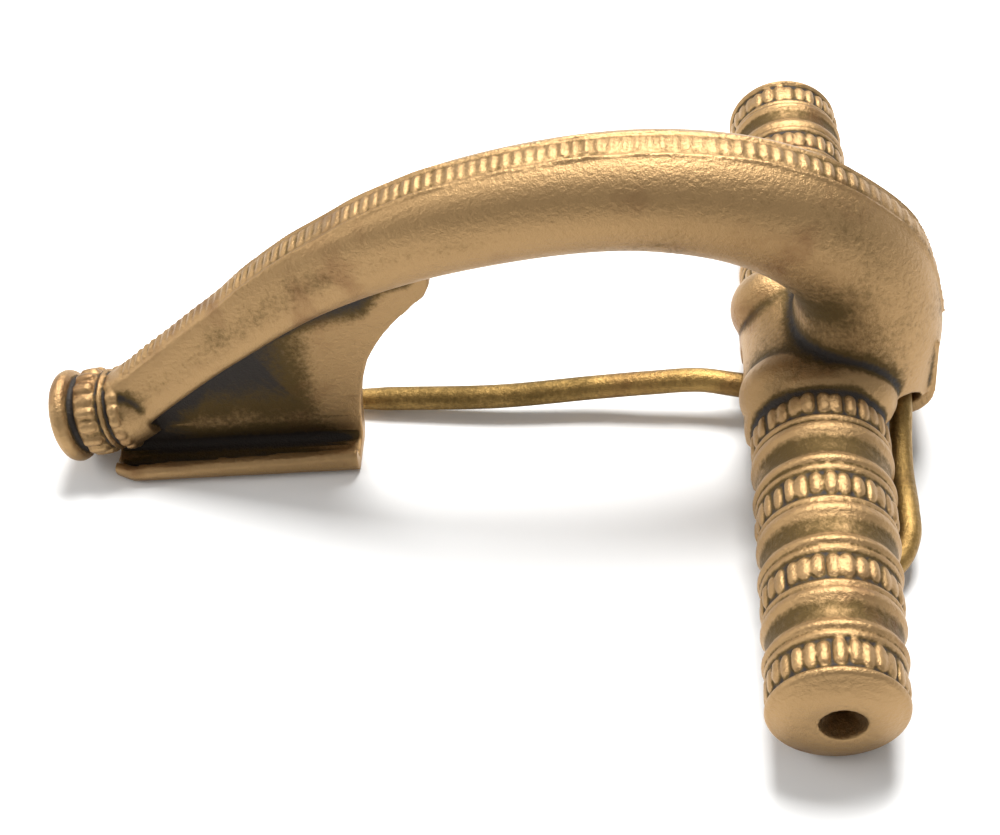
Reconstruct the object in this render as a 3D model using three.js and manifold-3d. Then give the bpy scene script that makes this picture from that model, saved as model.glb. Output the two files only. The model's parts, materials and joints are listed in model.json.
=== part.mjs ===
// Roman T-shaped bow brooch (fibula) in cast copper alloy: a heavy arched bow with a foot knob and a
// catchplate, a moulded crossbar whose hollow wings hold the spring, and a sprung wire pin.
// Millimetres, +Z up. The brooch rests on its crossbar ends and on the fold of its catchplate, the
// bow runs along X with the foot at -X, and the crossbar runs along Y.
import * as THREE from 'three';
import { mergeVertices } from 'three/addons/utils/BufferGeometryUtils.js';
import Module from 'manifold-3d';

const wasm = await Module();
wasm.setup();

const DEG = Math.PI / 180;

// ---------- driving dimensions ----------
// crossbar: two wings either side of the head, swept back a little towards their ends; the spring
// and the pin turn on the straight axis X = AXIS_X, Z = AXIS_Z
const AXIS_X = 0.3;
const AXIS_Z = 4.45;
const WING_SWEEP = 0.6;
const HALF_SPAN = 30.7;
const WING_R_HEAD = 4.85;
const SLEEVE_R = 5.1;
const WING_R_END = 4.45;
const BEAD_BANDS = [8.1, 15.1, 21.8, 28.2];
const BAND_HALF = 1.2;
const BEADS_ROUND = 30;
const BEAD_RISE = 0.34;
const GROOVE_DEPTH = 0.42;
const CAVETTO_DEPTH = 0.3;
const FILLET_AT = 0.6;
const CAVETTO_AT = 1.4;
const END_HOLE_R = 1.45;

// the wings are hollow: a round spring channel, open below
const CHANNEL_R = 3.5;
const END_WALL = 2.8;
const LIP_ANGLE = 22 * DEG;

// bow: stations along its middle line, in its own plane, from the foot to the crossbar
// [x, z, half thickness, half width, squareness 0 round to 1 flat-sided]
const BOW_SKEW = 1.7 * DEG;
const BOW_STATIONS = [
  [-50.3, 4.9, 2.2, 2.4, 0.8],
  [-46.5, 7.9, 2.1, 2.5, 1.0],
  [-41.0, 11.9, 2.2, 2.7, 1.0],
  [-33.5, 16.7, 2.6, 3.2, 0.8],
  [-24.0, 20.2, 3.4, 3.8, 0.3],
  [-11.0, 21.4, 3.9, 4.1, 0.0],
  [-2.0, 19.0, 4.3, 4.3, 0.0],
  [3.2, 14.4, 4.7, 4.6, 0.0],
  [4.2, 9.4, 5.1, 5.4, 0.15],
  [3.6, 5.2, 5.4, 6.1, 0.3],
];
const BOW_STEPS = 30;
const BOW_SIDES = 20;
const CREST_HALF = 1.15;
const CREST_RISE = 0.2;
const CREST_SPAN = [0.04, 0.9];
const TICK_PITCH = 1.4;

// foot knob, turned about its own axis
const KNOB_FROM = [-49.4, 4.5];
const KNOB_TILT = 8 * DEG;
const KNOB_BEADS = 18;

// catchplate, a thin web under the foot with its lower edge folded up into a trough
const PLATE_HALF = 0.75;
// the plate's hollow rear edge as a Bezier curve [x, z], from the fold up to the bow
const PLATE_REAR = [[-32.7, 0.3], [-32.3, 6.5], [-31.2, 10.2], [-26.2, 14.0]];
// the plate's upper corners, buried in the bow and the foot
const PLATE_ROOT = [[-25.6, 14.6], [-25.6, 18.2], [-33.5, 16.5], [-47.5, 6.5]];
const PLATE_FRONT = -50.1;
const TROUGH_OUT = 4.0;
const TROUGH_DEPTH = 1.9;
const LIP_THICK = 0.85;
const TROUGH_FLOOR = 0.8;
const FOLD_WEB_TOP = 3;
const TROUGH_FROM = -51.3;
const TROUGH_TO = -32.7;

// head hook, curled round the spring's chord
const HOOK_CENTRE = [6.5, 4.5];
const HOOK_R_OUT = 2.3;
const HOOK_R_IN = 1.3;
const HOOK_HALF = 3.0;
const HOOK_TURN = -100 * DEG;
// how far the hook runs up into the head
const HOOK_ROOT = 4.5;
// the room under the head for the chord: half its width, and its height over the eye's centre
const CHORD_ROOM = 7;
const CHORD_OVER = 0.9;
// the slot for the pin in the foot side of the sleeve: half its width, and its height over the axis
const PIN_ROOM = 1.5;
const PIN_OVER = 0.6;

// spring and pin, one drawn wire
const WIRE_R = 0.78;
const COIL_R = 2.3;
const COIL_PITCH = 2.0;
const COIL_TURNS = 7;
const COIL_START = 2.0;
const PIN_R = 0.9;
const PIN_TAPER = 0.3;
const PIN_EYE_Y = 0.3;
const EYE_FROM = 0.1;
const EYE_TO = 0.74;
const EYE_POINTS = 8;
const SPRING_SIDES = 6;
const SPRING_STEPS = 132;
const PIN_SIDES = 8;
const PIN_STEPS = 32;

// ---------- solids ----------
// one shell from a grid of rings (each a closed list of points), capped at both ends
function shellFromRings(rings) {
  const count = rings[0].length;
  const position = [];
  const index = [];
  for (const ring of rings) for (const p of ring) position.push(p.x, p.y, p.z);
  for (let i = 0; i + 1 < rings.length; i++) {
    for (let j = 0; j < count; j++) {
      const a = i * count + j;
      const b = i * count + (j + 1) % count;
      index.push(a, b, b + count, a, b + count, a + count);
    }
  }
  for (const [row, flip] of [[0, true], [rings.length - 1, false]]) {
    const centre = new THREE.Vector3();
    for (const p of rings[row]) centre.addScaledVector(p, 1 / count);
    const middle = position.length / 3;
    position.push(centre.x, centre.y, centre.z);
    for (let j = 0; j < count; j++) {
      const a = row * count + j;
      const b = row * count + (j + 1) % count;
      index.push(...(flip ? [b, a, middle] : [a, b, middle]));
    }
  }
  const geometry = new THREE.BufferGeometry();
  geometry.setAttribute('position', new THREE.Float32BufferAttribute(position, 3));
  geometry.setIndex(index);
  return geometry;
}

// the signed volume is negative when the faces point inwards
function signedVolume(geometry) {
  const p = geometry.attributes.position;
  const index = geometry.index.array;
  const [a, b, c] = [new THREE.Vector3(), new THREE.Vector3(), new THREE.Vector3()];
  let sum = 0;
  for (let i = 0; i < index.length; i += 3) {
    a.fromBufferAttribute(p, index[i]);
    b.fromBufferAttribute(p, index[i + 1]);
    c.fromBufferAttribute(p, index[i + 2]);
    sum += a.dot(b.cross(c)) / 6;
  }
  return sum;
}

function solid(geometry) {
  const bare = geometry.clone();
  for (const name of Object.keys(bare.attributes)) if (name !== 'position') bare.deleteAttribute(name);
  const merged = mergeVertices(bare, 1e-4);
  const index = Array.from(merged.index.array);
  if (signedVolume(merged) < 0) {
    for (let i = 0; i < index.length; i += 3) [index[i + 1], index[i + 2]] = [index[i + 2], index[i + 1]];
  }
  return new wasm.Manifold(new wasm.Mesh({
    numProp: 3,
    vertProperties: new Float32Array(merged.attributes.position.array),
    triVerts: new Uint32Array(index),
  }));
}

function meshOf(manifold, name, material) {
  const mesh = manifold.getMesh();
  const geometry = new THREE.BufferGeometry();
  geometry.setAttribute('position', new THREE.BufferAttribute(new Float32Array(mesh.vertProperties), 3));
  geometry.setIndex(new THREE.BufferAttribute(new Uint32Array(mesh.triVerts), 1));
  geometry.computeVertexNormals();
  const result = new THREE.Mesh(geometry, material);
  result.name = name;
  return result;
}

function boxBetween(x0, x1, y0, y1, z0, z1) {
  const geometry = new THREE.BoxGeometry(x1 - x0, y1 - y0, z1 - z0);
  geometry.translate((x0 + x1) / 2, (y0 + y1) / 2, (z0 + z1) / 2);
  return geometry;
}

// ---------- crossbar ----------
// wing surface radius without mouldings, tapering from the head to the end
const wingRadius = (s) => THREE.MathUtils.mapLinear(s, BEAD_BANDS[0], BEAD_BANDS[3], WING_R_HEAD, WING_R_END);

// half profile [distance from the middle, radius, what runs round there]
function wingProfile() {
  const rows = [[0, SLEEVE_R], [BEAD_BANDS[0] - BAND_HALF - 0.9, SLEEVE_R],
    [BEAD_BANDS[0] - BAND_HALF - 0.2, WING_R_HEAD]];
  const add = (s, depth, kind) => rows.push([s, wingRadius(s) - depth, kind]);
  BEAD_BANDS.forEach((band, i) => {
    add(band - BAND_HALF, GROOVE_DEPTH, 'beads');
    add(band + BAND_HALF, GROOVE_DEPTH);
    if (i + 1 < BEAD_BANDS.length) {
      const next = BEAD_BANDS[i + 1] - BAND_HALF;
      const from = band + BAND_HALF;
      add(from + FILLET_AT, 0);
      add(from + CAVETTO_AT, CAVETTO_DEPTH);
      add(next - CAVETTO_AT, CAVETTO_DEPTH);
      add(next - FILLET_AT, 0);
    }
  });
  const last = BEAD_BANDS[BEAD_BANDS.length - 1] + BAND_HALF;
  rows.push([last + 0.2, WING_R_END], [last + 0.55, WING_R_END - 0.15]);
  rows.push([HALF_SPAN - 0.6, WING_R_END - 0.75], [HALF_SPAN - 0.15, WING_R_END - 1.5]);
  rows.push([HALF_SPAN, END_HOLE_R + 0.8]);
  return rows;
}

const sweepAt = (y) => WING_SWEEP * (1 - (y / HALF_SPAN) ** 2);

const ringAt = (y, radius) => Array.from({ length: BEADS_ROUND }, (_, i) => {
  const turn = (i + 0.5) / BEADS_ROUND * 2 * Math.PI;
  return new THREE.Vector3(sweepAt(y) + radius * Math.cos(turn), y, AXIS_Z + radius * Math.sin(turn));
});

// raises a roof-shaped bead on the cell between four corners; outwards gives the way out at a point
function addBead(position, index, corners, outwards) {
  const at = (k) => new THREE.Vector3().fromArray(position, k * 3);
  const ends = [[0, 1, 3, 2], [3, 2, 0, 1]].map(([a, b, c, d]) => {
    const end = at(corners[a]).add(at(corners[b])).divideScalar(2);
    const other = at(corners[c]).add(at(corners[d])).divideScalar(2);
    end.lerp(other, 0.22);
    return end.addScaledVector(outwards(end), BEAD_RISE);
  });
  const ridge = position.length / 3;
  for (const end of ends) position.push(end.x, end.y, end.z);
  const [a, b, c, d] = corners;
  index.push(a, b, ridge, c, d, ridge + 1);
  index.push(b, c, ridge + 1, b, ridge + 1, ridge, d, a, ridge, d, ridge, ridge + 1);
}

// copies a shell of rings, raising a bead in every cell of the rows that say so
function withBeads(shell, count, isBeaded, outwards) {
  const position = Array.from(shell.attributes.position.array);
  const old = Array.from(shell.index.array);
  const index = [];
  const rows = position.length / 3 / count - 1;
  const cells = Math.floor(rows) * count;
  for (let cell = 0; cell < cells; cell++) {
    const tri = old.slice(cell * 6, cell * 6 + 6);
    if (isBeaded(Math.floor(cell / count))) {
      addBead(position, index, [tri[0], tri[1], tri[2], tri[5]], outwards);
    } else {
      index.push(...tri);
    }
  }
  index.push(...old.slice(cells * 6));
  const geometry = new THREE.BufferGeometry();
  geometry.setAttribute('position', new THREE.Float32BufferAttribute(position, 3));
  geometry.setIndex(index);
  return geometry;
}

// the crossbar without its hollow; the mirrored half lists each row's kind one row later
function turnedCrossbar() {
  const half = wingProfile();
  const mirrored = half.slice(1).reverse().map(([s, r], i, all) => [-s, r, all[i + 1] && all[i + 1][2]]);
  const rows = [...mirrored, ...half];
  const outwards = (p) => new THREE.Vector3(p.x - sweepAt(p.y), 0, p.z - AXIS_Z).normalize();
  return withBeads(shellFromRings(rows.map(([y, r]) => ringAt(y, r))), BEADS_ROUND,
    (row) => rows[row][2] === 'beads', outwards);
}

// the channel that holds the spring, and everything below the wings' lips
function channelCuts() {
  const length = 2 * (HALF_SPAN - END_WALL);
  const channel = new THREE.CylinderGeometry(CHANNEL_R, CHANNEL_R, length, 28);
  channel.translate(AXIS_X, 0, AXIS_Z);
  const lipZ = AXIS_Z - CHANNEL_R * Math.sin(LIP_ANGLE);
  const reach = WING_R_HEAD + 1;
  const below = boxBetween(-reach, reach, -length / 2, length / 2, -1, lipZ);
  const bore = new THREE.CylinderGeometry(END_HOLE_R, END_HOLE_R, 2 * HALF_SPAN + 2, 14);
  bore.translate(AXIS_X, 0, AXIS_Z);
  return solid(channel).add(solid(below)).add(solid(bore));
}

// ---------- bow ----------
const middleLine = new THREE.CatmullRomCurve3(
  BOW_STATIONS.map(([x, z]) => new THREE.Vector3(x, 0, z)), false, 'centripetal');
const sectionLine = new THREE.CatmullRomCurve3(
  BOW_STATIONS.map(([, , thick, wide, square]) => new THREE.Vector3(thick, wide, square)), false, 'catmullrom');

function bowFrame(t) {
  const centre = middleLine.getPoint(t);
  const along = middleLine.getTangent(t);
  const up = new THREE.Vector3(-along.z, 0, along.x);
  const size = sectionLine.getPoint(t);
  return { centre, up, thick: size.x, wide: size.y, square: THREE.MathUtils.clamp(size.z, 0, 1) };
}

// one cross-section: an ellipse that turns flat-sided, narrower at the crest, towards the foot
function bowRing(t) {
  const { centre, up, thick, wide, square } = bowFrame(t);
  const power = THREE.MathUtils.lerp(1, 0.45, square);
  const bend = (value) => Math.sign(value) * Math.abs(value) ** power;
  return Array.from({ length: BOW_SIDES }, (_, i) => {
    const turn = i / BOW_SIDES * 2 * Math.PI;
    const v = bend(Math.sin(turn)) * thick;
    const narrowing = THREE.MathUtils.lerp(1, 0.72 - 0.28 * v / thick, square);
    const u = bend(Math.cos(turn)) * wide * narrowing;
    return centre.clone().addScaledVector(up, v).add(new THREE.Vector3(0, u, 0));
  });
}

function bowShell() {
  return shellFromRings(Array.from({ length: BOW_STEPS + 1 }, (_, i) => bowRing(i / BOW_STEPS)));
}

// the raised band along the crest, notched across at every tick
function crestBand() {
  const [from, to] = CREST_SPAN;
  const length = middleLine.getLength() * (to - from);
  const steps = 2 * Math.round(length / TICK_PITCH);
  const rings = Array.from({ length: steps + 1 }, (_, i) => {
    const { centre, up, thick } = bowFrame(from + (to - from) * i / steps);
    const top = thick + (i % 2 ? CREST_RISE : 0.02);
    const corner = (u, v) => centre.clone().addScaledVector(up, v).add(new THREE.Vector3(0, u, 0));
    return [corner(-CREST_HALF, thick - 0.6), corner(CREST_HALF, thick - 0.6),
      corner(CREST_HALF, top - 0.08), corner(-CREST_HALF, top - 0.08)];
  });
  return shellFromRings(rings);
}

// ---------- foot knob ----------
// [distance outwards along the knob's axis, radius, beads]
const KNOB_PROFILE = [
  [-1.4, 2.3], [-0.2, 2.9], [0.05, 3.05, 'beads'], [1.15, 3.05], [1.3, 2.9], [1.5, 3.15], [1.7, 2.9],
  [1.85, 3.1, 'beads'], [3.75, 3.2], [3.9, 2.95], [4.15, 2.95], [4.4, 3.5], [5.2, 3.45], [5.65, 3.0],
];

function knobShell() {
  const rings = KNOB_PROFILE.map(([s, r]) => Array.from({ length: KNOB_BEADS }, (_, i) => {
    const turn = i / KNOB_BEADS * 2 * Math.PI;
    return new THREE.Vector3(-s, r * Math.cos(turn), r * Math.sin(turn));
  }));
  const geometry = withBeads(shellFromRings(rings), KNOB_BEADS,
    (row) => KNOB_PROFILE[row][2] === 'beads', (p) => new THREE.Vector3(0, p.y, p.z).normalize());
  geometry.rotateY(-KNOB_TILT);
  geometry.translate(KNOB_FROM[0], 0, KNOB_FROM[1]);
  return geometry;
}

// ---------- catchplate ----------
function catchPlate() {
  const outline = new THREE.Shape();
  const [foot, ...curve] = PLATE_REAR;
  outline.moveTo(PLATE_FRONT, foot[1]);
  outline.lineTo(...foot);
  outline.bezierCurveTo(...curve.flat());
  for (const corner of PLATE_ROOT) outline.lineTo(...corner);
  outline.closePath();
  const geometry = new THREE.ExtrudeGeometry(outline,
    { depth: 2 * PLATE_HALF, bevelEnabled: false, curveSegments: 10 });
  geometry.rotateX(Math.PI / 2);
  geometry.translate(0, PLATE_HALF, 0);
  return geometry;
}

// the trough's section in Y and Z: web, rounded floor and upstanding lip, pushed along X
function catchTrough() {
  const section = new THREE.Shape();
  const inner = -TROUGH_OUT + LIP_THICK;
  section.moveTo(PLATE_HALF, 0.7);
  section.lineTo(PLATE_HALF, FOLD_WEB_TOP);
  section.lineTo(-PLATE_HALF, FOLD_WEB_TOP);
  section.lineTo(-PLATE_HALF, 1.3);
  section.quadraticCurveTo(-PLATE_HALF - 0.1, TROUGH_FLOOR, -PLATE_HALF - 0.7, TROUGH_FLOOR);
  section.lineTo(inner + 0.5, TROUGH_FLOOR);
  section.quadraticCurveTo(inner, 0.9, inner, 1.4);
  section.lineTo(inner, TROUGH_DEPTH);
  section.lineTo(-TROUGH_OUT + 0.1, TROUGH_DEPTH);
  section.lineTo(-TROUGH_OUT, TROUGH_DEPTH - 0.3);
  section.lineTo(-TROUGH_OUT, TROUGH_FLOOR);
  section.quadraticCurveTo(-TROUGH_OUT, 0, -TROUGH_OUT + 0.9, 0);
  section.lineTo(0, 0);
  section.quadraticCurveTo(PLATE_HALF, 0, PLATE_HALF, 0.7);
  const geometry = new THREE.ExtrudeGeometry(section,
    { depth: TROUGH_TO - TROUGH_FROM, bevelEnabled: false, curveSegments: 3 });
  geometry.rotateX(Math.PI / 2);
  geometry.rotateZ(Math.PI / 2);
  geometry.translate(TROUGH_FROM, 0, 0);
  return geometry;
}

// ---------- head hook ----------
function headHook() {
  const [cx, cz] = HOOK_CENTRE;
  const section = new THREE.Shape();
  section.moveTo(cx + HOOK_R_OUT, cz + HOOK_ROOT);
  section.lineTo(cx + HOOK_R_OUT, cz);
  section.absarc(cx, cz, HOOK_R_OUT, 0, HOOK_TURN, true);
  section.absarc(cx, cz, HOOK_R_IN, HOOK_TURN, 0, false);
  section.lineTo(cx + HOOK_R_IN, cz + HOOK_ROOT);
  section.closePath();
  const geometry = new THREE.ExtrudeGeometry(section,
    { depth: 2 * HOOK_HALF, bevelEnabled: false, curveSegments: 8 });
  geometry.rotateX(Math.PI / 2);
  geometry.translate(0, HOOK_HALF, 0);
  return geometry;
}

const turned = (geometry) => {
  geometry.rotateZ(BOW_SKEW);
  return geometry;
};

// room for the chord behind the wings and under the hook, and for the pin to swing on the foot side
function clearances() {
  const [cx, cz] = HOOK_CENTRE;
  const eye = new THREE.CylinderGeometry(HOOK_R_IN, HOOK_R_IN, 2 * CHORD_ROOM, 20);
  eye.translate(cx, 0, cz);
  const under = boxBetween(2, cx, -CHORD_ROOM, CHORD_ROOM, -1, cz + CHORD_OVER);
  const pinSlot = boxBetween(-8, 0, PIN_EYE_Y - PIN_ROOM, PIN_EYE_Y + PIN_ROOM, -1, AXIS_Z + PIN_OVER);
  return solid(eye).add(solid(under)).add(solid(pinSlot));
}

function castBody() {
  const bow = solid(turned(bowShell())).add(solid(turned(crestBand())));
  const foot = solid(turned(knobShell())).add(solid(turned(catchPlate()))).add(solid(turned(catchTrough())));
  let body = solid(turnedCrossbar()).add(bow);
  body = body.subtract(channelCuts()).add(foot).add(solid(turned(headHook())));
  body = body.subtract(clearances());
  const table = boxBetween(-70, 30, -40, 40, -5, 0);
  return body.subtract(solid(table));
}

// ---------- spring and pin ----------
// a wire of round section along a path of points; radiusAt gives its radius from start 0 to end 1
function wire(points, radiusAt, sides, steps) {
  const path = new THREE.CatmullRomCurve3(points, false, 'centripetal');
  const { normals, binormals } = path.computeFrenetFrames(steps);
  return shellFromRings(Array.from({ length: steps + 1 }, (_, i) => {
    const centre = path.getPointAt(i / steps);
    const radius = radiusAt(i / steps);
    return Array.from({ length: sides }, (_, j) => {
      const turn = j / sides * 2 * Math.PI;
      return centre.clone().addScaledVector(normals[i], radius * Math.cos(turn))
        .addScaledVector(binormals[i], radius * Math.sin(turn));
    });
  }));
}

// a point on the coils, at that many turns from the bottom, going round by way of the head side
const coilPoint = (turns, y) => new THREE.Vector3(AXIS_X + COIL_R * Math.sin(turns * 2 * Math.PI), y,
  AXIS_Z - COIL_R * Math.cos(turns * 2 * Math.PI));

function coilPoints(yFrom, side, turns, perTurn) {
  return Array.from({ length: turns * perTurn + 1 },
    (_, i) => coilPoint(i / perTurn, yFrom + side * COIL_PITCH * i / perTurn));
}

function springWire() {
  const outer = COIL_START + COIL_PITCH * COIL_TURNS;
  // from the outermost coil, round the outside of the wing's back lip and up to the hook's eye
  const side = (s) => [
    new THREE.Vector3(3.0, s * (outer + 0.6), 1.75),
    new THREE.Vector3(4.9, s * (outer + 0.2), 1.75),
    new THREE.Vector3(5.95, s * (outer - 1.6), 2.3),
    new THREE.Vector3(6.1, s * (outer - 4), 2.6),
    new THREE.Vector3(6.1, s * 8.6, 2.6),
    new THREE.Vector3(6.2, s * 6.2, 3.3),
    new THREE.Vector3(6.4, s * 3.6, 4.4),
  ];
  const near = coilPoints(PIN_EYE_Y - COIL_START, -1, COIL_TURNS, 8);
  const far = coilPoints(PIN_EYE_Y + COIL_START, 1, COIL_TURNS, 8);
  const points = [...near, ...side(-1), ...side(1).reverse(), ...far.reverse()];
  return wire(points, () => WIRE_R, SPRING_SIDES, SPRING_STEPS);
}

// the eye is most of a turn and stops above the shank, so that the wire doesn't meet itself
function pinWire() {
  const eye = Array.from({ length: EYE_POINTS },
    (_, i) => coilPoint(THREE.MathUtils.lerp(EYE_TO, EYE_FROM, i / (EYE_POINTS - 1)), PIN_EYE_Y));
  const shank = [[0, 0.3, 2.15], [-4.2, 0.35, 2.6], [-7.5, 0.9, 2.8], [-11.2, 1.05, 2.55], [-15, 1.2, 2.15],
    [-22.5, 1.15, 1.6], [-30.2, 1.7, 1.2], [-36, 2.1, 0.95], [-44, 2.3, 0.6]];
  const radiusAt = (t) => PIN_R * Math.min(1, (1.02 - t) / PIN_TAPER + 0.15);
  return wire([...eye, ...shank.map(([x, y, z]) => new THREE.Vector3(x, y, z))], radiusAt, PIN_SIDES, PIN_STEPS);
}

// ---------- assembly ----------
const bronze = new THREE.MeshStandardMaterial({ color: 0x9a7a3c, roughness: 0.45, metalness: 0.9 });
const wireBronze = new THREE.MeshStandardMaterial({ color: 0x7d6536, roughness: 0.5, metalness: 0.85 });

const brooch = new THREE.Group();
brooch.add(meshOf(castBody(), 'brooch_body', bronze));
brooch.add(meshOf(solid(springWire()), 'spring', wireBronze));
brooch.add(meshOf(solid(pinWire()), 'pin', wireBronze));

// the origin is on the table under the middle of the whole brooch
const box = new THREE.Box3().setFromObject(brooch);
const middle = box.getCenter(new THREE.Vector3());
brooch.position.set(-middle.x, -middle.y, -box.min.z);

export default brooch;
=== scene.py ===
import json
import math
import random

import bpy
import numpy as np
from mathutils import Matrix, Quaternion, Vector
from mathutils.kdtree import KDTree


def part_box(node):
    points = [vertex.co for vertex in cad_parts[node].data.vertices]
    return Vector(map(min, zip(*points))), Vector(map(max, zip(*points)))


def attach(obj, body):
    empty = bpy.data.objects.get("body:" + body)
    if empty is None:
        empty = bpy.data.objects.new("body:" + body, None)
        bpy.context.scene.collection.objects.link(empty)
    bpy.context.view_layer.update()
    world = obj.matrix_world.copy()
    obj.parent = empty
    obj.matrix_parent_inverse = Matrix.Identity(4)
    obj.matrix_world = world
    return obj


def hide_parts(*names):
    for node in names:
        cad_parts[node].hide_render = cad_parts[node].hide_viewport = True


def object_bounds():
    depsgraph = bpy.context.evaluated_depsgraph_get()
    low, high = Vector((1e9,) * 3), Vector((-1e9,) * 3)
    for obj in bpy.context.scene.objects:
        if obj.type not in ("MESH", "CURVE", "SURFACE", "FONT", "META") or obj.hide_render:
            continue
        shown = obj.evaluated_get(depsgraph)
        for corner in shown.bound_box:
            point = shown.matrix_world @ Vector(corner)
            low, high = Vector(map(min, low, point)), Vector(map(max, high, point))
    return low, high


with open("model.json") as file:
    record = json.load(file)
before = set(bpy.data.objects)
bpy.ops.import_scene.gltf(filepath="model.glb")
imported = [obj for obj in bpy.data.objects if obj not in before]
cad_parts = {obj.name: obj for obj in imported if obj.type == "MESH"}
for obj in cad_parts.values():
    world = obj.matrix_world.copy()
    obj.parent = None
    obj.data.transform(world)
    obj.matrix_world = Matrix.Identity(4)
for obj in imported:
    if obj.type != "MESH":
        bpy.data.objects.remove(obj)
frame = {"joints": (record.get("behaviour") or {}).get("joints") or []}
cad_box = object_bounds()

# ---------------------------------------------------------------- table top and lights
# The brooch lies on a plain white table. A wide soft lamp hangs above and behind it, with a weaker
# one at the left side, so its upper faces shine and the faces towards the viewer stay dull.
MM = 0.001


def linear(hex_colour):
    """An sRGB hex colour as the linear colour that a shader socket takes."""
    parts = [int(hex_colour[i:i + 2], 16) / 255 for i in (1, 3, 5)]
    return tuple(c / 12.92 if c <= 0.04045 else ((c + 0.055) / 1.055) ** 2.4 for c in parts) + (1.0,)


def node(tree, kind, settings=None, inputs=None):
    """Adds a shader node, sets its settings and sets or links its inputs."""
    made = tree.nodes.new(kind)
    for name, value in (settings or {}).items():
        setattr(made, name, value)
    for name, value in (inputs or {}).items():
        socket = made.inputs[name]
        if isinstance(value, bpy.types.NodeSocket):
            tree.links.new(value, socket)
        else:
            socket.default_value = value
    return made


TABLE_HALF = 0.9
bpy.ops.mesh.primitive_plane_add(size=2 * TABLE_HALF, location=(0, 0, 0))
table_top = bpy.context.object
table_top.name = "table_top"
paper = bpy.data.materials.new("white_paper")
paper.use_nodes = True
paper.node_tree.nodes["Principled BSDF"].inputs["Base Color"].default_value = linear("#f6f6f5")
paper.node_tree.nodes["Principled BSDF"].inputs["Roughness"].default_value = 0.9
table_top.data.materials.append(paper)

world = bpy.data.worlds.new("studio")
bpy.context.scene.world = world
world.use_nodes = True
world.node_tree.nodes["Background"].inputs["Color"].default_value = linear("#ffffff")
world.node_tree.nodes["Background"].inputs["Strength"].default_value = 0.42


def soft_lamp(name, place, size, power):
    """A square soft lamp that points at the brooch."""
    light = bpy.data.lights.new(name, "AREA")
    light.size = size
    light.energy = power
    lamp = bpy.data.objects.new(name, light)
    bpy.context.scene.collection.objects.link(lamp)
    lamp.location = place
    lamp.rotation_euler = (-Vector(place)).to_track_quat("-Z", "Y").to_euler()
    return lamp


soft_lamp("overhead_lamp", (0.05, 0.22, 0.42), 0.22, 4.6)
soft_lamp("left_lamp", (-0.40, 0.02, 0.25), 0.25, 0.8)

scene = bpy.context.scene
scene.view_settings.view_transform = "Standard"

# ---------------------------------------------------------------- camera
CAMERA_AZIMUTH = 9.57
CAMERA_ELEVATION = 44.54
CAMERA_ROLL = -8.63
CAMERA_DISTANCE = 127.5 * MM
CAMERA_TARGET = Vector((0.51, 0.0, 0.49)) * MM
camera_data = bpy.data.cameras.new("camera")
camera_data.lens = 61.18
camera_data.sensor_width = 36.0
camera_data.clip_start = 0.005
camera = bpy.data.objects.new("camera", camera_data)
scene.collection.objects.link(camera)
azimuth, elevation = math.radians(CAMERA_AZIMUTH), math.radians(CAMERA_ELEVATION)
backwards = Vector((math.sin(azimuth) * math.cos(elevation),
                    -math.cos(azimuth) * math.cos(elevation), math.sin(elevation)))
camera.location = CAMERA_TARGET + backwards * CAMERA_DISTANCE
roll = Quaternion(backwards, math.radians(CAMERA_ROLL))
camera.rotation_euler = (roll @ (-backwards).to_track_quat("-Z", "Y")).to_euler()
scene.camera = camera

# ---------------------------------------------------------------- cast body: crossbar
# A hollow bar with wings either side of the head, cast with turned ribs, hollow mouldings and bands
# of beads, and open below for the spring. It is made here in millimetres and brought to metres last.
AXIS = Vector(frame["joints"][0]["pos_m"]) / MM
BAR_X = AXIS.x - 0.3
BAR_Z = AXIS.z
HALF_SPAN = cad_box[1].y / MM
WING_SWEEP = 0.6
WING_R_HEAD = 4.85
WING_R_END = 4.45
SLEEVE_R = 5.1
BEAD_BANDS = (8.1, 15.2, 21.9, 28.35)
BAND_HALF = 1.05
BEADS_ROUND = 30
END_HOLE_R = 1.45
BAR_SIDES = 144
ROW_STEP = 0.14
# one moulding between two bead bands: share of the way across, height above the plain surface
MOULDING = ((0.0, -0.34), (0.03, -0.10), (0.08, -0.08), (0.12, -0.30), (0.17, -0.04), (0.27, 0.0),
            (0.34, -0.2), (0.46, -0.34), (0.62, -0.32), (0.71, -0.2), (0.76, 0.0), (0.83, 0.02),
            (0.88, -0.32), (0.92, -0.12), (0.97, -0.12), (1.0, -0.34))
random.seed(11)


def only(piece):
    """Selects one piece and nothing else."""
    bpy.ops.object.select_all(action="DESELECT")
    piece.select_set(True)
    bpy.context.view_layer.objects.active = piece


def loft(name, rings):
    """A closed skin through rings of points: a grid rolled up, sewn along its seam and capped."""
    rows, around = len(rings), len(rings[0])
    bpy.ops.object.select_all(action="DESELECT")
    bpy.ops.mesh.primitive_grid_add(x_subdivisions=around, y_subdivisions=rows - 1, size=1)
    piece = bpy.context.object
    piece.name = name
    rolled = np.array([list(ring) + [ring[0]] for ring in rings], float)
    piece.data.vertices.foreach_set("co", rolled.reshape(-1))
    bpy.ops.object.mode_set(mode="EDIT")
    bpy.ops.mesh.select_all(action="SELECT")
    bpy.ops.mesh.remove_doubles(threshold=0.0005)
    bpy.ops.mesh.fill_holes(sides=0)
    bpy.ops.mesh.select_all(action="SELECT")
    bpy.ops.mesh.normals_make_consistent(inside=False)
    bpy.ops.object.mode_set(mode="OBJECT")
    return piece


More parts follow.
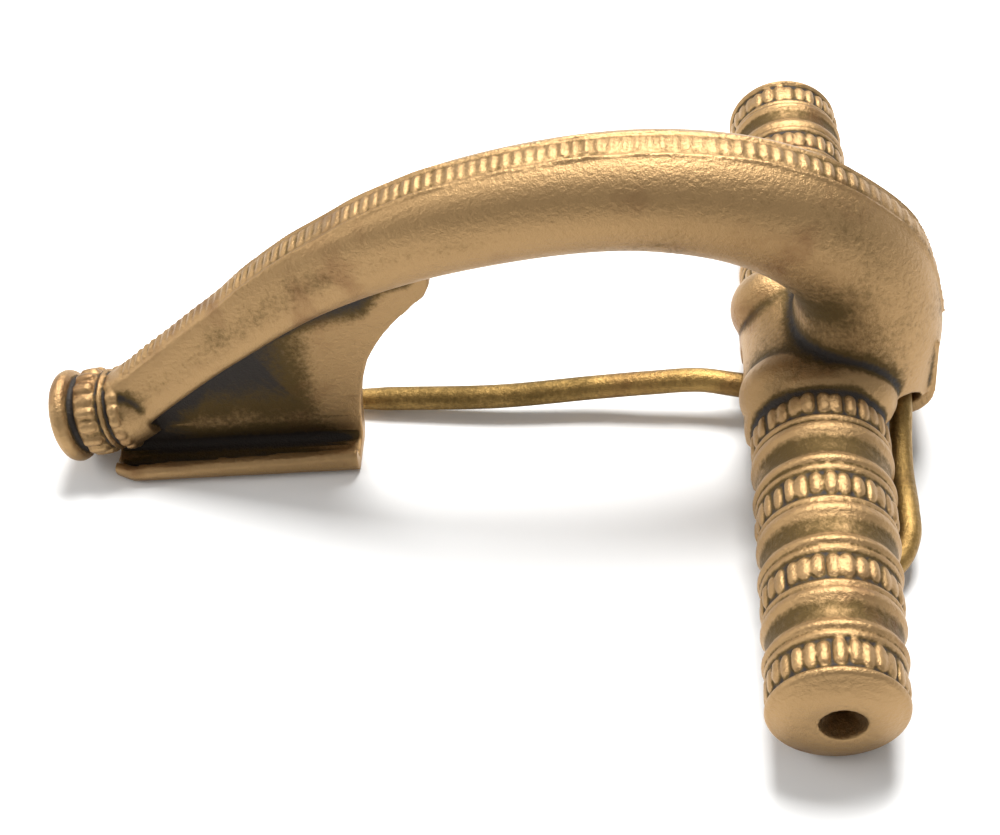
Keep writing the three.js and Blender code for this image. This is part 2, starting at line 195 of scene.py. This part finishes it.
def smooth_between(x, points):
    """The height at x of a smooth line through (x, height) points."""
    xs = [p[0] for p in points]
    i = int(np.clip(np.searchsorted(xs, x) - 1, 0, len(xs) - 2))
    part = np.clip((x - xs[i]) / (xs[i + 1] - xs[i]), 0, 1)
    part = part * part * (3 - 2 * part)
    return points[i][1] * (1 - part) + points[i + 1][1] * part


def wing_surface(s):
    """The crossbar's radius at a distance s from its middle."""
    plain = WING_R_HEAD + (WING_R_END - WING_R_HEAD) * (s - BEAD_BANDS[0]) / (BEAD_BANDS[3] - BEAD_BANDS[0])
    first = BEAD_BANDS[0] - BAND_HALF
    last = BEAD_BANDS[3] + BAND_HALF
    if s < first:
        return smooth_between(s, ((0, SLEEVE_R), (first - 0.9, SLEEVE_R), (first, WING_R_HEAD - 0.34)))
    if s > last:
        end = ((last, plain - 0.3), (last + 0.2, plain), (last + 0.55, plain - 0.1),
               (HALF_SPAN - 0.45, plain - 0.75), (HALF_SPAN - 0.1, plain - 1.5), (HALF_SPAN, plain - 2.2))
        return smooth_between(s, end)
    for here, there in zip(BEAD_BANDS, BEAD_BANDS[1:]):
        start, stop = here + BAND_HALF, there - BAND_HALF
        if start < s < stop:
            return plain + smooth_between((s - start) / (stop - start), MOULDING)
    return plain - 0.34


def bar_centre(y):
    """The middle of the crossbar at y: the wings sweep back a little."""
    return Vector((BAR_X + WING_SWEEP * (1 - (y / HALF_SPAN) ** 2), y, BAR_Z))


def bar_ring(y):
    centre, radius = bar_centre(y), wing_surface(abs(y))
    turns = [i / BAR_SIDES * math.tau for i in range(BAR_SIDES)]
    return [centre + Vector((radius * math.cos(a), 0, radius * math.sin(a))) for a in turns]


rows = int(round(2 * HALF_SPAN / ROW_STEP))
crossbar = loft("crossbar", [bar_ring(-HALF_SPAN + 2 * HALF_SPAN * i / rows) for i in range(rows + 1)])

bpy.ops.object.select_all(action="DESELECT")
bpy.ops.mesh.primitive_uv_sphere_add(segments=12, ring_count=8, radius=1)
one_bead = bpy.context.object
only(one_bead)
for v in one_bead.data.vertices:
    v.co = Vector([math.copysign(abs(c) ** 0.65, c) for c in v.co])


def bead_at(place, out, along, size):
    """A copy of the bead, pressed into its band: size is (round, along, out) in millimetres."""
    across = along.cross(out).normalized()
    bead = one_bead.copy()
    bead.data = one_bead.data.copy()
    scene.collection.objects.link(bead)
    turn = Matrix((across * size[0], along * size[1], out * size[2])).transposed().to_4x4()
    bead.data.transform(Matrix.Translation(place) @ turn)
    return bead


beads = []
for side in (-1, 1):
    for band in BEAD_BANDS:
        pitch = math.tau / BEADS_ROUND
        start = random.random() * pitch
        for i in range(BEADS_ROUND):
            turn = start + (i + random.uniform(-0.09, 0.09)) * pitch
            out = Vector((math.cos(turn), 0, math.sin(turn)))
            y = side * (band + random.uniform(-0.08, 0.08))
            radius = wing_surface(band) + random.uniform(-0.05, 0.02)
            size = (random.uniform(0.34, 0.42), BAND_HALF * random.uniform(0.78, 0.92), random.uniform(0.26, 0.36))
            beads.append(bead_at(bar_centre(y) + out * radius, out, Vector((0, 1, 0)), size))

# ---------------------------------------------------------------- cast body: bow
# A heavy arched bow, round over the head and flat-sided towards the foot. It is cast with the
# crossbar, and a ladder of fine ticks between two raised lines was chased along its crest.
BOW_SKEW = math.radians(1.7)
# along the bow from the foot: x and z of the middle, half thickness, half width, squareness
BOW_STATIONS = np.array((
    (-50.3, 4.9, 2.2, 2.4, 0.8), (-46.5, 7.9, 2.1, 2.5, 1.0), (-41.0, 11.9, 2.2, 2.7, 1.0),
    (-33.5, 16.7, 2.6, 3.2, 0.8), (-24.0, 20.2, 3.4, 3.8, 0.3), (-11.0, 21.4, 3.9, 4.1, 0.0),
    (-2.0, 19.0, 4.3, 4.3, 0.0), (3.2, 14.4, 4.7, 4.6, 0.0), (4.2, 9.4, 5.1, 5.4, 0.15),
    (3.6, 5.2, 5.4, 6.1, 0.3)))
BOW_STEPS = 240
BOW_SIDES = 72


def through(points, steps):
    """Evenly shared points on a smooth line through the given rows (centripetal Catmull-Rom)."""
    points = np.asarray(points, float)
    knots = np.concatenate(([0], np.cumsum(np.linalg.norm(np.diff(points[:, :2], axis=0), axis=1) ** 0.5)))
    before, after = 2 * points[0] - points[1], 2 * points[-1] - points[-2]
    padded = np.vstack((before, points, after))
    k = np.concatenate(([knots[0] - knots[1]], knots, [2 * knots[-1] - knots[-2]]))
    made = []
    for i in range(steps + 1):
        t = knots[-1] * i / steps
        j = int(np.clip(np.searchsorted(knots, t, side="right") - 1, 0, len(points) - 2)) + 1
        p0, p1, p2, p3 = padded[j - 1:j + 3]
        t0, t1, t2, t3 = k[j - 1:j + 3]
        a1 = (t1 - t) / (t1 - t0) * p0 + (t - t0) / (t1 - t0) * p1
        a2 = (t2 - t) / (t2 - t1) * p1 + (t - t1) / (t2 - t1) * p2
        a3 = (t3 - t) / (t3 - t2) * p2 + (t - t2) / (t3 - t2) * p3
        b1 = (t2 - t) / (t2 - t0) * a1 + (t - t0) / (t2 - t0) * a2
        b2 = (t3 - t) / (t3 - t1) * a2 + (t - t1) / (t3 - t1) * a3
        made.append((t2 - t) / (t2 - t1) * b1 + (t - t1) / (t2 - t1) * b2)
    return np.array(made)


def turned(points):
    """Points of the bow's own plane, turned to the bow's slight lean and put in the brooch's place."""
    points = np.asarray(points, float)
    c, s = math.cos(BOW_SKEW), math.sin(BOW_SKEW)
    x, y = points[..., 0] * c - points[..., 1] * s, points[..., 0] * s + points[..., 1] * c
    return np.stack((x + BAR_X, y, points[..., 2]), axis=-1)


bow_line = through(BOW_STATIONS, BOW_STEPS)
bow_along = np.gradient(bow_line[:, :2], axis=0)
bow_along /= np.linalg.norm(bow_along, axis=1)[:, None]


def bow_ring(row, along):
    x, z, thick, wide, square = row
    square = min(max(square, 0), 1)
    power = 1 - 0.55 * square
    a = np.arange(BOW_SIDES) / BOW_SIDES * math.tau
    v = np.sign(np.sin(a)) * np.abs(np.sin(a)) ** power
    narrowing = 1 + square * (0.72 - 0.28 * v - 1)
    u = np.sign(np.cos(a)) * np.abs(np.cos(a)) ** power * wide * narrowing
    v = v * thick
    return turned(np.stack((x - along[1] * v, u, z + along[0] * v), axis=-1))


bow = loft("bow", [bow_ring(r, a) for r, a in zip(bow_line, bow_along)])

# ---------------------------------------------------------------- cast body: foot
# The bow ends in a turned knob with two beaded rings and a flat worn face. Below the foot a thin
# catchplate runs down, and its lower edge is folded up into the trough that caught the pin.
KNOB_FROM = (-49.4, 4.5)
KNOB_TILT = math.radians(8)
KNOB_SIDES = 96
# distance outwards along the knob, radius
KNOB_PROFILE = ((-1.4, 2.3), (-0.5, 2.6), (-0.2, 2.75), (0.0, 2.75), (0.3, 2.95), (0.9, 2.95), (1.2, 2.7),
                (1.35, 2.7), (1.5, 3.1), (1.62, 3.1), (1.8, 2.7), (2.1, 3.0), (2.8, 3.1), (3.5, 3.0),
                (3.8, 2.65), (4.05, 2.65), (4.4, 3.35), (4.8, 3.5), (5.2, 3.4), (5.5, 3.1), (5.65, 2.6))
KNOB_BEADS = 18
KNOB_BEAD_RINGS = ((0.6, 0.5, 2.92), (2.8, 0.85, 3.05))


def knob_place(out, across, up):
    """A point given along, across and above the knob's own axis."""
    x = KNOB_FROM[0] - out * math.cos(KNOB_TILT) - up * math.sin(KNOB_TILT)
    z = KNOB_FROM[1] - out * math.sin(KNOB_TILT) + up * math.cos(KNOB_TILT)
    return turned((x, across, z))


def knob_ring(out, radius):
    a = np.arange(KNOB_SIDES) / KNOB_SIDES * math.tau
    return [knob_place(out, radius * math.cos(t), radius * math.sin(t)) for t in a]


knob_steps = np.arange(KNOB_PROFILE[0][0], KNOB_PROFILE[-1][0] + 0.05, 0.1)
knob = loft("knob", [knob_ring(out, smooth_between(out, KNOB_PROFILE)) for out in knob_steps])
knob_along = Vector(knob_place(1, 0, 0) - knob_place(0, 0, 0)).normalized()
for out_at, half, radius in KNOB_BEAD_RINGS:
    for i in range(KNOB_BEADS):
        turn = (i + random.uniform(-0.12, 0.12)) / KNOB_BEADS * math.tau
        place = Vector(knob_place(out_at, radius * math.cos(turn), radius * math.sin(turn)))
        out = (place - Vector(knob_place(out_at, 0, 0))).normalized()
        size = (random.uniform(0.36, 0.46), half * random.uniform(0.85, 1.0), random.uniform(0.22, 0.34))
        beads.append(bead_at(place, out, knob_along, size))
bpy.data.objects.remove(one_bead)

PLATE_HALF = 0.75
TROUGH_FROM = -51.3
TROUGH_TO = -32.7
TROUGH_OUT = 4.0
LIP_THICK = 0.85
# lip height along the trough, from its foot end
LIP_HEIGHT = ((0.0, 1.15), (0.2, 1.45), (0.7, 1.7), (1.0, 1.95))


def arc(points_from, points_to, pull, steps):
    """Points on a curve between two places, drawn towards two pull places."""
    a, d = np.array(points_from, float), np.array(points_to, float)
    b, c = (np.array(q, float) for q in pull)
    made = []
    for i in range(steps + 1):
        t = i / steps
        made.append((1 - t) ** 3 * a + 3 * (1 - t) ** 2 * t * b + 3 * (1 - t) * t * t * c + t ** 3 * d)
    return made


plate_edge = [np.array((TROUGH_FROM + 1.2, 0.3))]
plate_edge += arc((TROUGH_TO, 0.3), (-26.2, 14.0), ((TROUGH_TO + 0.4, 6.5), (-31.2, 10.2)), 28)
plate_edge += [np.array(q, float) for q in ((-25.7, 15.0), (-25.6, 18.2), (-33.5, 16.5), (-47.5, 6.5))]


def plate_ring(y, inset):
    """The plate's outline at y, drawn in a little at its faces so that its edges are worn round."""
    outline = np.array(plate_edge)
    middle = outline.mean(axis=0)
    away = outline - middle
    shrunk = outline - away / np.linalg.norm(away, axis=1)[:, None] * inset
    return turned(np.column_stack((shrunk[:, 0], np.full(len(outline), y), shrunk[:, 1])))


plate_rows = ((-PLATE_HALF, 0.3), (-PLATE_HALF * 0.8, 0.08), (0.0, 0.0), (PLATE_HALF * 0.8, 0.08), (PLATE_HALF, 0.3))
plate = loft("catchplate", [plate_ring(y, inset) for y, inset in plate_rows])


def trough_ring(share):
    """The trough's section: the web, the rounded floor and the upstanding lip."""
    lip = smooth_between(share, LIP_HEIGHT)
    taper = min(1.0, 0.35 + share / 0.12)
    out = TROUGH_OUT * (0.72 + 0.28 * taper)
    inner = -out + LIP_THICK
    section = [(PLATE_HALF, 0.7), (PLATE_HALF, 3.0), (-PLATE_HALF, 3.0), (-PLATE_HALF, 1.3)]
    section += [(-PLATE_HALF - 0.25, 0.92), (-PLATE_HALF - 0.7, 0.8), (inner + 0.5, 0.8), (inner + 0.12, 0.95)]
    section += [(inner, lip - 0.15), (inner + 0.15, lip), (-out + 0.3, lip), (-out + 0.04, lip - 0.25)]
    section += [(-out, 0.8), (-out + 0.22, 0.25), (-out + 0.9, 0.0), (0.0, 0.0), (PLATE_HALF - 0.1, 0.2)]
    x = TROUGH_FROM + (TROUGH_TO - TROUGH_FROM) * share
    return turned([(x, y, z) for y, z in section])


trough = loft("trough", [trough_ring(i / 60) for i in range(61)])

# ---------------------------------------------------------------- cast body: head
# Where the bow comes down on the crossbar the metal flares out into a neck. Behind, a strap curls
# down under the spring's chord and holds it.
HOOK_CENTRE = (6.5, 4.5)
HOOK_R_OUT = 2.3
HOOK_R_IN = 1.3
HOOK_HALF = 3.0


def hook_row(y):
    cx, cz = HOOK_CENTRE
    down = [math.radians(-100 * i / 14) for i in range(15)]
    outer = [(cx + HOOK_R_OUT * math.cos(a), cz + HOOK_R_OUT * math.sin(a)) for a in down]
    inner = [(cx + HOOK_R_IN * math.cos(a), cz + HOOK_R_IN * math.sin(a)) for a in reversed(down)]
    top = [(cx + HOOK_R_IN, cz + 4.5), (cx + HOOK_R_OUT, cz + 4.5)]
    return turned([(x, y, z) for x, z in outer + inner + top])


hook = loft("hook", [hook_row(-HOOK_HALF + 2 * HOOK_HALF * i / 8) for i in range(9)])


def lump(place, size, tilt=0.0):
    """A round lump of metal left by the casting, as an egg shape at a place beside the head."""
    bpy.ops.object.select_all(action="DESELECT")
    bpy.ops.mesh.primitive_uv_sphere_add(segments=40, ring_count=24, radius=1)
    piece = bpy.context.object
    turn = Matrix.Rotation(tilt, 4, "Y") @ Matrix.Diagonal((*size, 1))
    piece.data.transform(Matrix.Translation(turned(place)) @ turn)
    return piece


lumps = [lump((-1.6, -4.6, 6.2), (3.4, 2.6, 3.4)), lump((1.6, -5.2, 6.0), (4.2, 2.4, 3.6)),
         lump((-1.6, 4.6, 6.2), (3.4, 2.6, 3.4)), lump((1.6, 5.2, 6.0), (4.2, 2.4, 3.6))]

# ---------------------------------------------------------------- cast body: hollowing and joining
# The wings' channel, the end holes and the room for the chord and pin are cut away. Then the cast
# parts become one skin.
CHANNEL_R = 3.5
END_WALL = 2.8
LIP_ANGLE = math.radians(22)
PIN_Y = AXIS.y


def rod(radius, length, place):
    bpy.ops.object.select_all(action="DESELECT")
    bpy.ops.mesh.primitive_cylinder_add(vertices=64, radius=radius, depth=length, location=place,
                                        rotation=(math.pi / 2, 0, 0))
    return bpy.context.object


def block(low, high):
    low, high = Vector(low), Vector(high)
    bpy.ops.object.select_all(action="DESELECT")
    bpy.ops.mesh.primitive_cube_add(size=1, location=(low + high) / 2)
    bpy.context.object.scale = high - low
    return bpy.context.object


channel_half = HALF_SPAN - END_WALL
lip_z = BAR_Z - CHANNEL_R * math.sin(LIP_ANGLE)
cutters = [
    rod(CHANNEL_R, 2 * channel_half, (AXIS.x, 0, BAR_Z)),
    rod(END_HOLE_R, 2 * HALF_SPAN + 2, (AXIS.x, 0, BAR_Z)),
    rod(HOOK_R_IN, 14, (BAR_X + HOOK_CENTRE[0], 0, HOOK_CENTRE[1])),
    block((BAR_X - 6, -channel_half, -1), (BAR_X + 6, channel_half, lip_z)),
    block((BAR_X + 2, -7, -1), (BAR_X + HOOK_CENTRE[0], 7, HOOK_CENTRE[1] + 0.9)),
    block((BAR_X - 8, PIN_Y - 1.5, -1), (BAR_X, PIN_Y + 1.5, BAR_Z + 0.6)),
]


def cut(piece, tools):
    only(piece)
    for tool in tools:
        step = piece.modifiers.new("cut", "BOOLEAN")
        step.operation = "DIFFERENCE"
        step.solver = "EXACT"
        step.object = tool
        bpy.ops.object.modifier_apply(modifier="cut")


def joined(name, parts):
    bpy.ops.object.select_all(action="DESELECT")
    for part in parts:
        part.select_set(True)
    bpy.context.view_layer.objects.active = parts[0]
    bpy.ops.object.join()
    parts[0].name = name
    return parts[0]


for part in [crossbar, bow] + lumps:
    cut(part, cutters)
for tool in cutters:
    bpy.data.objects.remove(tool)
body = joined("cast_brooch", [crossbar, bow, knob, plate, trough, hook] + lumps + beads)

SKIN_STEP = 0.13
only(body)
skin = body.modifiers.new("skin", "REMESH")
skin.mode = "VOXEL"
skin.voxel_size = SKIN_STEP
bpy.ops.object.modifier_apply(modifier="skin")


def places_of(piece):
    co = np.empty(len(piece.data.vertices) * 3)
    piece.data.vertices.foreach_get("co", co)
    return co.reshape(-1, 3)


def normals_of(piece):
    co = np.empty(len(piece.data.vertices) * 3)
    piece.data.vertex_normals.foreach_get("vector", co)
    return co.reshape(-1, 3)


def edges_of(piece):
    e = np.empty(len(piece.data.edges) * 2, dtype=np.int64)
    piece.data.edges.foreach_get("vertices", e)
    return e.reshape(-1, 2)


def spread(values, edges, rounds, keep=0.0):
    """Shares each vertex's values with its neighbours, that many times."""
    count = len(values)
    degree = np.bincount(edges.ravel(), minlength=count)[:, None]
    values = values.reshape(count, -1)
    for _ in range(rounds):
        total = np.zeros_like(values)
        for k in range(values.shape[1]):
            total[:, k] = (np.bincount(edges[:, 0], values[edges[:, 1], k], count)
                           + np.bincount(edges[:, 1], values[edges[:, 0], k], count))
        values = keep * values + (1 - keep) * total / degree
    return values


# soft joints: the skin is smoothed most where the bow meets the crossbar, and a little all over
place = places_of(body)
edges = edges_of(body)
head = np.linalg.norm((place - turned((0.5, 0, 8.5))) / np.array((8.0, 7.5, 5.0)), axis=1)
soft_head = np.clip(1.25 - head, 0, 1) * (np.abs(place[:, 1]) < 7.0)
smooth = spread(place, edges, 24)
place = place + (smooth - place) * np.clip(soft_head * 1.4, 0, 1)[:, None]
place = place + (spread(place, edges, 2) - place) * 0.6
body.data.vertices.foreach_set("co", place.reshape(-1))
body.data.update()

# along the crest run two thin raised lines, with a row of small worn pads punched between them
CREST_HALF = 1.15
CREST_LINE = 0.17
CREST_RISE = 0.2
CREST_SINK = 0.08
PAD_HALF = 0.8
PAD_PITCH = 0.72
CREST_SPAN = (0.04, 0.93)
spine = KDTree(len(bow_line))
for i, (x, z) in enumerate(bow_line[:, :2]):
    spine.insert((x, 0, z), i)
spine.balance()
cos_lean, sin_lean = math.cos(BOW_SKEW), math.sin(BOW_SKEW)
own_x = (place[:, 0] - BAR_X) * cos_lean + place[:, 1] * sin_lean
own_y = place[:, 1] * cos_lean - (place[:, 0] - BAR_X) * sin_lean
near = np.flatnonzero(np.abs(own_y) < 1.5 * CREST_HALF)
row = np.array([spine.find((own_x[i], 0, place[i, 2]))[1] for i in near])
offset = np.column_stack((own_x[near], place[near, 2])) - bow_line[row, :2]
upward = np.column_stack((-bow_along[row, 1], bow_along[row, 0]))
steps_gone = np.linalg.norm(np.diff(bow_line[:, :2], axis=0), axis=1)
line_gone = np.concatenate(([0], np.cumsum(steps_gone)))
gone = line_gone[row] + (offset * bow_along[row]).sum(axis=1)
height = (offset * upward).sum(axis=1) / bow_line[row, 2]
share = gone / line_gone[-1]
on_crest = np.clip((height - 0.75) / 0.15, 0, 1) * (share > CREST_SPAN[0]) * (share < CREST_SPAN[1])
aside = np.abs(own_y[near])
lines = np.exp(-((aside - CREST_HALF) / CREST_LINE) ** 2)
pads = np.clip((PAD_HALF - aside) / 0.15, 0, 1) * (0.5 - 0.5 * np.cos(gone / PAD_PITCH * math.tau))
worn_by = 0.7 + 0.3 * np.sin(gone * 0.9) * np.cos(gone * 0.37 + 1)
lift = (CREST_RISE * np.maximum(lines, 0.8 * pads) * worn_by - CREST_SINK * (aside < CREST_HALF)) * on_crest
place[near] += np.column_stack((upward[:, 0] * cos_lean, upward[:, 0] * sin_lean, upward[:, 1])) * lift[:, None]
body.data.vertices.foreach_set("co", place.reshape(-1))
body.data.update()

# sinks between coarse and fine smoothing show what is a hollow and what stands proud
normal = normals_of(body)
fine = spread(place, edges, 3)
middle = spread(fine, edges, 14)
broad = spread(middle, edges, 60)
hollow = ((middle - fine) * normal).sum(axis=1) * 9 + ((broad - middle) * normal).sum(axis=1) * 2.2

FACE_LIMIT = 96000
only(body)
count_before = len(body.data.polygons)
tree = KDTree(len(place))
for i, co in enumerate(place):
    tree.insert(co, i)
tree.balance()
thin = body.modifiers.new("thin", "DECIMATE")
thin.ratio = min(1.0, 2 * FACE_LIMIT / (2 * count_before))
bpy.ops.object.modifier_apply(modifier="thin")
place = places_of(body)
nearest = np.array([tree.find(co)[1] for co in place])
dirt = body.data.attributes.new("hollow", "FLOAT", "POINT")
dirt.data.foreach_set("value", np.clip(hollow[nearest], -1, 1).astype(np.float32))
low, high = np.array(cad_box[0]) / MM, np.array(cad_box[1]) / MM
body.data.vertices.foreach_set("co", (np.clip(place, low, high) * MM).reshape(-1))
body.data.update()
bpy.ops.object.shade_smooth()

# ---------------------------------------------------------------- cast body: finish
# Cast and filed copper alloy: bright gold where handling wore it, olive-brown patina elsewhere, red
# copper bloom in patches, and dark earth in the hollows.
GRAIN = 1 / (0.35 * MM)
MOTTLE = 1 / (2.5 * MM)


def bronze(name, gold, patina, earth, red, roughness):
    material = bpy.data.materials.new(name)
    material.use_nodes = True
    tree = material.node_tree
    shader = tree.nodes["Principled BSDF"]
    where = node(tree, "ShaderNodeTexCoord").outputs["Object"]
    hollows = node(tree, "ShaderNodeAttribute", {"attribute_name": "hollow"}).outputs["Fac"]
    patches = node(tree, "ShaderNodeTexNoise", inputs={"Vector": where, "Scale": MOTTLE / 4, "Detail": 6.0,
                                                       "Roughness": 0.6}).outputs["Fac"]
    grain = node(tree, "ShaderNodeTexNoise", inputs={"Vector": where, "Scale": GRAIN, "Detail": 4.0,
                                                     "Roughness": 0.7}).outputs["Fac"]
    reds = node(tree, "ShaderNodeTexNoise", inputs={"Vector": where, "Scale": MOTTLE / 2.2, "Detail": 4.0,
                                                    "Roughness": 0.55}).outputs["Fac"]
    worn = node(tree, "ShaderNodeMath", {"operation": "MULTIPLY_ADD"},
                {0: hollows, 1: -0.9, 2: patches}).outputs[0]
    worn = node(tree, "ShaderNodeMath", {"operation": "MULTIPLY_ADD"}, {0: grain, 1: 0.5, 2: worn}).outputs[0]
    gilt = node(tree, "ShaderNodeMapRange", {"interpolation_type": "SMOOTHSTEP"},
                {"Value": worn, "From Min": 0.55, "From Max": 0.95}).outputs[0]
    colour = node(tree, "ShaderNodeMix", {"data_type": "RGBA"},
                  {0: gilt, 6: linear(patina), 7: linear(gold)}).outputs[2]
    rust = node(tree, "ShaderNodeMapRange", {"interpolation_type": "SMOOTHSTEP"},
                {"Value": reds, "From Min": 0.56, "From Max": 0.74, "To Max": 0.5}).outputs[0]
    colour = node(tree, "ShaderNodeMix", {"data_type": "RGBA"}, {0: rust, 6: colour, 7: linear(red)}).outputs[2]
    deep = node(tree, "ShaderNodeMath", {"operation": "MULTIPLY_ADD"}, {0: grain, 1: 0.5, 2: hollows}).outputs[0]
    soil = node(tree, "ShaderNodeMapRange", {"interpolation_type": "SMOOTHSTEP"},
                {"Value": deep, "From Min": 0.42, "From Max": 0.85}).outputs[0]
    colour = node(tree, "ShaderNodeMix", {"data_type": "RGBA"}, {0: soil, 6: colour, 7: linear(earth)}).outputs[2]
    tree.links.new(colour, shader.inputs["Base Color"])
    metal = node(tree, "ShaderNodeMapRange", inputs={"Value": soil, "To Min": 0.9, "To Max": 0.15}).outputs[0]
    tree.links.new(metal, shader.inputs["Metallic"])
    rough = node(tree, "ShaderNodeMapRange", inputs={"Value": gilt, "To Min": roughness + 0.14,
                                                     "To Max": roughness - 0.06}).outputs[0]
    tree.links.new(rough, shader.inputs["Roughness"])
    relief = node(tree, "ShaderNodeBump", inputs={"Height": grain, "Strength": 0.8, "Distance": 0.12 * MM})
    tree.links.new(relief.outputs["Normal"], shader.inputs["Normal"])
    return material


cast_bronze = bronze("cast_bronze", "#a2835a", "#5c4a2b", "#20160c", "#6a452b", 0.52)
body.data.materials.clear()
body.data.materials.append(cast_bronze)
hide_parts("brooch_body")
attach(body, "body")

# ---------------------------------------------------------------- spring and pin
# One drawn and hammered wire in the real brooch: coils on both sides, a chord behind the wings, and
# the long pin, sprung out of its catch. The pin turns on the coils' axis.
WIRE_R = 0.78
COIL_R = 2.3
COIL_PITCH = 2.0
COIL_TURNS = 7
COIL_START = 2.0
PIN_R = 0.9
PIN_TAPER = 0.3


def coil_point(turns, y):
    a = turns * math.tau
    return (AXIS.x + COIL_R * math.sin(a), y, AXIS.z - COIL_R * math.cos(a))


def wire(name, points, radius_at, sides, steps):
    """A round wire along points, as a loft whose rings don't twist."""
    line = through(points, steps * 4)
    gone = np.concatenate(([0], np.cumsum(np.linalg.norm(np.diff(line, axis=0), axis=1))))
    even = np.linspace(0, gone[-1], steps + 1)
    line = np.column_stack([np.interp(even, gone, line[:, k]) for k in range(3)])
    along = np.gradient(line, axis=0)
    along /= np.linalg.norm(along, axis=1)[:, None]
    side = np.cross(along[0], (0.31, 0.95, 0.1))
    rings = []
    for i in range(steps + 1):
        side = side - along[i] * side.dot(along[i])
        side /= np.linalg.norm(side)
        other = np.cross(along[i], side)
        r = radius_at(i / steps)
        turn = np.arange(sides) / sides * math.tau
        rings.append(line[i] + r * (np.outer(np.cos(turn), side) + np.outer(np.sin(turn), other)))
    return loft(name, rings)


spring_out = COIL_START + COIL_PITCH * COIL_TURNS


def spring_half(side):
    coils = [coil_point(i / 12, AXIS.y + side * (COIL_START + COIL_PITCH * i / 12)) for i in range(COIL_TURNS * 12 + 1)]
    reach = ((3.0, spring_out + 0.6, 1.75), (4.9, spring_out + 0.2, 1.75), (5.95, spring_out - 1.6, 2.3),
             (6.1, spring_out - 4, 2.6), (6.1, 8.6, 2.6), (6.2, 6.2, 3.3), (6.4, 3.6, 4.4))
    return coils + [(BAR_X + x, side * y, z) for x, y, z in reach]


spring = wire("spring_wire", spring_half(-1) + spring_half(1)[::-1], lambda t: WIRE_R, 14, 900)
eye = [coil_point(0.74 + (0.1 - 0.74) * i / 14, AXIS.y) for i in range(15)]
SHANK = ((0, 0.3, 2.15), (-4.2, 0.35, 2.6), (-7.5, 0.9, 2.8), (-11.2, 1.05, 2.55), (-15, 1.2, 2.15),
         (-22.5, 1.15, 1.6), (-30.2, 1.7, 1.2), (-36, 2.1, 0.95), (-44, 2.3, 0.6))
pin = wire("pin_wire", eye + [(BAR_X + x, y, z) for x, y, z in SHANK],
           lambda t: PIN_R * min(1, (1.02 - t) / PIN_TAPER + 0.15), 24, 200)
wire_bronze = bronze("wire_bronze", "#9a7c48", "#65502a", "#2a1e11", "#664529", 0.5)
for piece, cad_node, rides_on in ((spring, "spring", "body"), (pin, "pin", "pin")):
    low, high = (np.array(corner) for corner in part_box(cad_node))
    co = np.clip(places_of(piece) * MM, low, high)
    piece.data.vertices.foreach_set("co", co.reshape(-1))
    piece.data.update()
    only(piece)
    bpy.ops.object.shade_smooth()
    piece.data.materials.append(wire_bronze)
    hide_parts(cad_node)
    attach(piece, rides_on)
